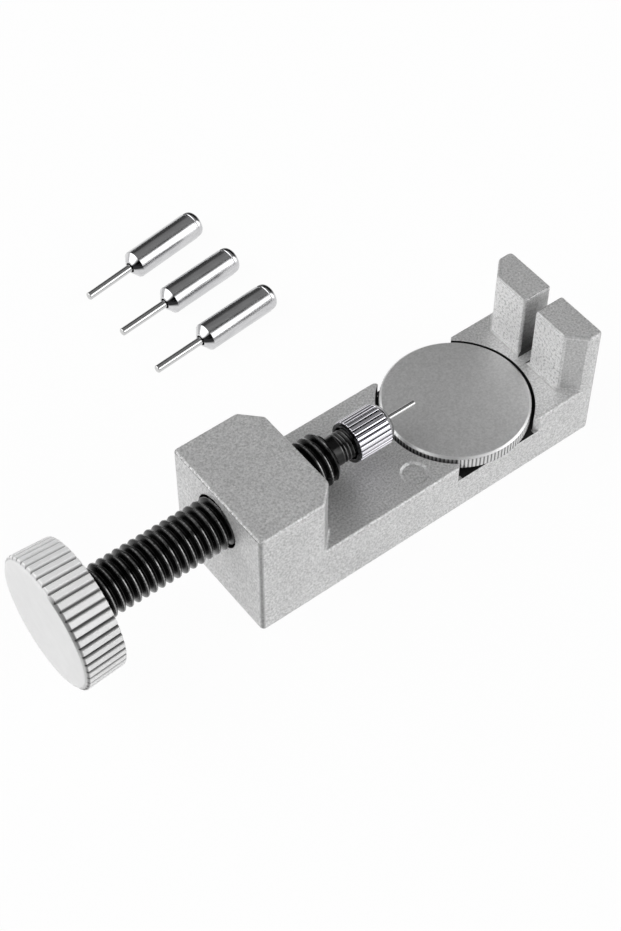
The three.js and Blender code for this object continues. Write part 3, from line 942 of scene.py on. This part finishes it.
# The knurled rim is painted dark as shade, darkest in its grooves.
rim_colour_with_shade = ramp_between(tree, on_ridge, [(0, 0.1), (0.6, 0.3), (1, 0.7)])
side_colour = mixed(tree, share_between(tree, up_bevel, 0.02, 0.12), rim_colour_with_shade, grey(0.72))
top_colour = ramp_between(tree, grain, [(0.3, 0.52), (0.7, 0.66)])
on_top = share_between(tree, parts["Z"], table_high.z - 0.03 * mm, table_high.z - 0.01 * mm)
tree.links.new(mixed(tree, on_top, side_colour, top_colour), shader.inputs["Base Color"])
plate_roughness = ramp_between(tree, up_bevel, [(0, 0.25), (0.15, 0.3), (0.95, 0.3), (1, 0.5)])
tree.links.new(plate_roughness, shader.inputs["Roughness"])
tree.links.new(bump_from(tree, grain, 0.01 * mm), shader.inputs["Normal"])
plate.data.materials.append(faced)
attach(plate, "turntable")
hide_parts("turntable")

# Plain steel of the stud, with a trace of oil.
plain_steel, tree, shader = material_nodes("plain steel", grey(0.4), 1.0, 0.35)
place = tree.nodes.new("ShaderNodeTexCoord").outputs["Object"]
oil = noise_at(tree, place, 1 * mm, 4)
tree.links.new(ramp_between(tree, oil, [(0.3, 0.3), (0.7, 0.46)]), shader.inputs["Base Color"])
tree.links.new(ramp_between(tree, oil, [(0.3, 0.25), (0.7, 0.45)]), shader.inputs["Roughness"])
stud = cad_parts["turntable_stud"]
stud.data.materials.clear()
stud.data.materials.append(plain_steel)


# Spare punches
# Three loose punches of one pattern, lying side by side with their needles towards the knob. The bodies are
# bright plated, with a coned front and a rounded rear end, and the needles are ground steel.
spare_radius = 2.83 * mm
spare_length = 16.6 * mm
spare_shoulder = 1.2 * mm
spare_face_share = 0.5
spare_end_radius = 2.7 * mm
spare_end_round = 1.1 * mm
spare_groove_radius = 2.6 * mm
spare_needle_radius = 0.78 * mm
spare_needle_shown = 11 * mm
spare_needle_grip = 3 * mm
spare_slants = (5, 6.2, 8)

# Dark patches painted on each body: the middle of each in degrees round the body from its top, and how far
# it spreads to either side. The one on the cone is a painted dark reflection. The last two reach this far
# from the rear end.
cone_dark_reflection, end_patch, groove_patch = (52, 30), (-20, 75), (-60, 55)
end_patch_reach, groove_patch_reach = 0.9 * mm, 1.7 * mm


def kept_on_mesh(tree, name):
    """A value that the mesh keeps for each of its corners."""
    source = tree.nodes.new("ShaderNodeAttribute")
    source.attribute_name = name
    return source.outputs["Fac"]


# The bodies' plating, with long faint smears along them. Each mesh keeps, for each corner, its place along
# the body and how dark the patch painted on the body is there.
polished, tree, shader = material_nodes("polished plating", (0.64, 0.64, 0.65), 1.0, 0.26)
place = tree.nodes.new("ShaderNodeTexCoord").outputs["Object"]
stretch = tree.nodes.new("ShaderNodeMapping")
stretch.inputs["Scale"].default_value = (0.15, 1, 1)
tree.links.new(place, stretch.inputs["Vector"])
smears = noise_at(tree, stretch.outputs["Vector"], 0.5 * mm, 4)
on_cone = share_between(tree, kept_on_mesh(tree, "along"), 0, 0.1 * mm)
patched = share_between(tree, kept_on_mesh(tree, "dark_patch"), 0.05, 0.45)
clean = ramp_between(tree, smears, [(0.3, (0.56, 0.56, 0.57)), (0.7, (0.68, 0.68, 0.69))])
tree.links.new(mixed(tree, patched, clean, (0.03, 0.03, 0.032)), shader.inputs["Base Color"])
side_roughness = ramp_between(tree, smears, [(0.3, 0.2), (0.75, 0.26)])
tree.links.new(mixed(tree, on_cone, side_roughness, grey(0.12)), shader.inputs["Roughness"])


def dark_patch_on(local):
    """How dark the painted patch is at a place on the body, whose front shoulder lies at zero."""
    if local.x > 0:
        middle, spread = cone_dark_reflection
    elif local.x < -spare_length + end_patch_reach:
        middle, spread = end_patch
    elif local.x < -spare_length + groove_patch_reach:
        middle, spread = groove_patch
    else:
        return 0
    return max(0, 1 - abs(degrees(atan2(local.y, local.z)) - middle) / spread)


# Behind the main length, a shallow groove sets off the rounded end.
spare_end = rounded_end(-spare_length, spare_end_radius, spare_end_round, -1, steps=8)
spare_rear = [(-spare_length, 0)] + spare_end + [
    (-spare_length + 1.35 * mm, spare_end_radius + 0.02 * mm),
    (-spare_length + 1.47 * mm, spare_groove_radius),
    (-spare_length + 1.75 * mm, spare_groove_radius),
    (-spare_length + 1.9 * mm, spare_radius - 0.05 * mm),
    (-spare_length + 2 * mm, spare_radius),
]

for number, slant_degrees in enumerate(spare_slants, 1):
    # The middle of the solid's box is the middle of the body, and the shoulder lies ahead of it.
    low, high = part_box(f"spare_punch_{number}_body")
    slant = radians(slant_degrees)
    ahead = Vector((-cos(slant), -sin(slant), 0))
    shoulder = (low + high) / 2 + ahead * ((spare_length + spare_shoulder) / 2 - spare_shoulder)
    lay = Matrix.Translation((shoulder.x, shoulder.y, spare_radius)) @ Matrix.Rotation(pi + slant, 4, "Z")
    bm = body_bar(
        spare_rear, 0, spare_shoulder, spare_radius, spare_face_share * spare_radius,
        spare_needle_radius + running_gap, spare_needle_grip)
    length_layer = bm.verts.layers.float.new("along")
    patch_layer = bm.verts.layers.float.new("dark_patch")
    for vert in bm.verts:
        vert[length_layer] = vert.co.x
        vert[patch_layer] = dark_patch_on(vert.co)
    bmesh.ops.transform(bm, matrix=lay, verts=bm.verts)
    body = piece_from(bm, f"loose_punch_{number}_body")
    shade(body, punch_crease)
    body.data.materials.append(polished)
    needle_start = spare_shoulder - spare_needle_grip + running_gap
    bm = needle_bar(needle_start, spare_shoulder + spare_needle_shown, spare_needle_radius)
    bmesh.ops.transform(bm, matrix=lay, verts=bm.verts)
    needle = piece_from(bm, f"loose_punch_{number}_needle")
    shade(needle, punch_crease)
    needle.data.materials.append(ground)
    for loose, part, slot in ((body, "body", "chromed_steel"), (needle, "needle", "bright_steel")):
        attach(loose, f"spare_punch_{number}")
        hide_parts(f"spare_punch_{number}_{part}")


# Bench and backdrop
# A plain white bench top under the tool. The camera and bright metal see it almost evenly white, with what
# is left of the tool's soft shadow, and it is large enough to be the background of every view.
bench_size = 8
bench_share = 0.96
bm = bmesh.new()
bmesh.ops.create_grid(bm, x_segments=1, y_segments=1, size=bench_size)
bench = piece_from(bm, "bench")
bench_white, tree, shader = material_nodes("white bench", grey(0.93), 0.0, 0.9)
shader.inputs["Specular IOR Level"].default_value = 0.0
rays = tree.nodes.new("ShaderNodeLightPath").outputs
seen = combined(tree, "MAXIMUM", rays["Is Camera Ray"], rays["Is Glossy Ray"])
seen = combined(tree, "MAXIMUM", seen, rays["Is Transmission Ray"])
white = tree.nodes.new("ShaderNodeEmission")
white.inputs["Color"].default_value = (*grey(1), 1)
white.inputs["Strength"].default_value = 1.0
bench_look = tree.nodes.new("ShaderNodeMixShader")
tree.links.new(combined(tree, "MULTIPLY", seen, bench_share), bench_look.inputs["Fac"])
tree.links.new(shader.outputs["BSDF"], bench_look.inputs[1])
tree.links.new(white.outputs["Emission"], bench_look.inputs[2])
tree.links.new(bench_look.outputs["Shader"], tree.nodes["Material Output"].inputs["Surface"])
bench.data.materials.append(bench_white)


# Studio light
# A tent of even light whose brightness changes with direction: white in front of the tool, grey overhead
# and behind, dark low down at the back, with soft bright fields low at the left and right and a dark one
# at the knob's end. The camera sees it all white, and bright metal sees it white along the horizon.

# Each field's direction, its outer edge and its full core in degrees from there, and its brightness.
fields = (
    ((-0.78, -0.61, 0.12), 54, 32, 0.03),
    ((-0.803, 0.464, 0.375), 58, 12, 2.5),
    ((0.66, -0.64, 0.39), 30, 8, 3.0),
)
world = bpy.data.worlds.new("tent")
bpy.context.scene.world = world
world.use_nodes = True
tree = world.node_tree
background = tree.nodes["Background"]
way = tree.nodes.new("ShaderNodeTexCoord").outputs["Generated"]
parts = split(tree, way)
tilt = combined(tree, "ARCTAN2", parts["Z"], combined(tree, "MULTIPLY", parts["Y"], -1))
light = ramp_between(tree, share_between(tree, tilt, 0, pi), [
    (0, 1), (0.3, 1), (0.33, 0.02), (0.405, 0.02), (0.425, 0.26), (0.72, 0.22), (0.78, 0.05), (1, 0.05)])
above_bench = share_between(tree, parts["Z"], -0.02, 0.3)
for direction, edge, core, strength in fields:
    facing = tree.nodes.new("ShaderNodeVectorMath")
    facing.operation = "DOT_PRODUCT"
    tree.links.new(way, facing.inputs[0])
    facing.inputs[1].default_value = direction
    spread = share_between(
        tree, facing.outputs["Value"], cos(radians(edge)), cos(radians(core)), "SMOOTHSTEP")
    light = mixed(tree, combined(tree, "MULTIPLY", spread, above_bench), light, grey(strength))
rays = tree.nodes.new("ShaderNodeLightPath").outputs
along_horizon = share_between(tree, parts["Z"], 0.03, 0.01)
seen = combined(tree, "MULTIPLY", rays["Is Glossy Ray"], along_horizon)
seen = combined(tree, "MAXIMUM", seen, rays["Is Transmission Ray"])
seen = combined(tree, "MAXIMUM", seen, rays["Is Camera Ray"])
tree.links.new(mixed(tree, seen, light, grey(1)), background.inputs["Color"])
background.inputs["Strength"].default_value = 1.0


# Camera
# A long lens that looks down on the tool from the knob's end of its near side.
camera_place = Vector((-146.8, -168.2, 291.1)) * mm
camera_heading = radians(37.457)
camera_drop = radians(52.133)
camera_roll = radians(0.089)
view = bpy.data.cameras.new("camera")
view.sensor_width = 36
view.lens = 77.25
view.clip_start = 0.01
camera = bpy.data.objects.new("camera", view)
camera.location = camera_place
camera_turn = (
    Matrix.Rotation(-camera_heading, 3, "Z") @ Matrix.Rotation(radians(90) - camera_drop, 3, "X")
    @ Matrix.Rotation(camera_roll, 3, "Z"))
camera.rotation_euler = camera_turn.to_euler()
bpy.context.scene.collection.objects.link(camera)
bpy.context.scene.camera = camera
bpy.context.scene.view_settings.view_transform = "Standard"
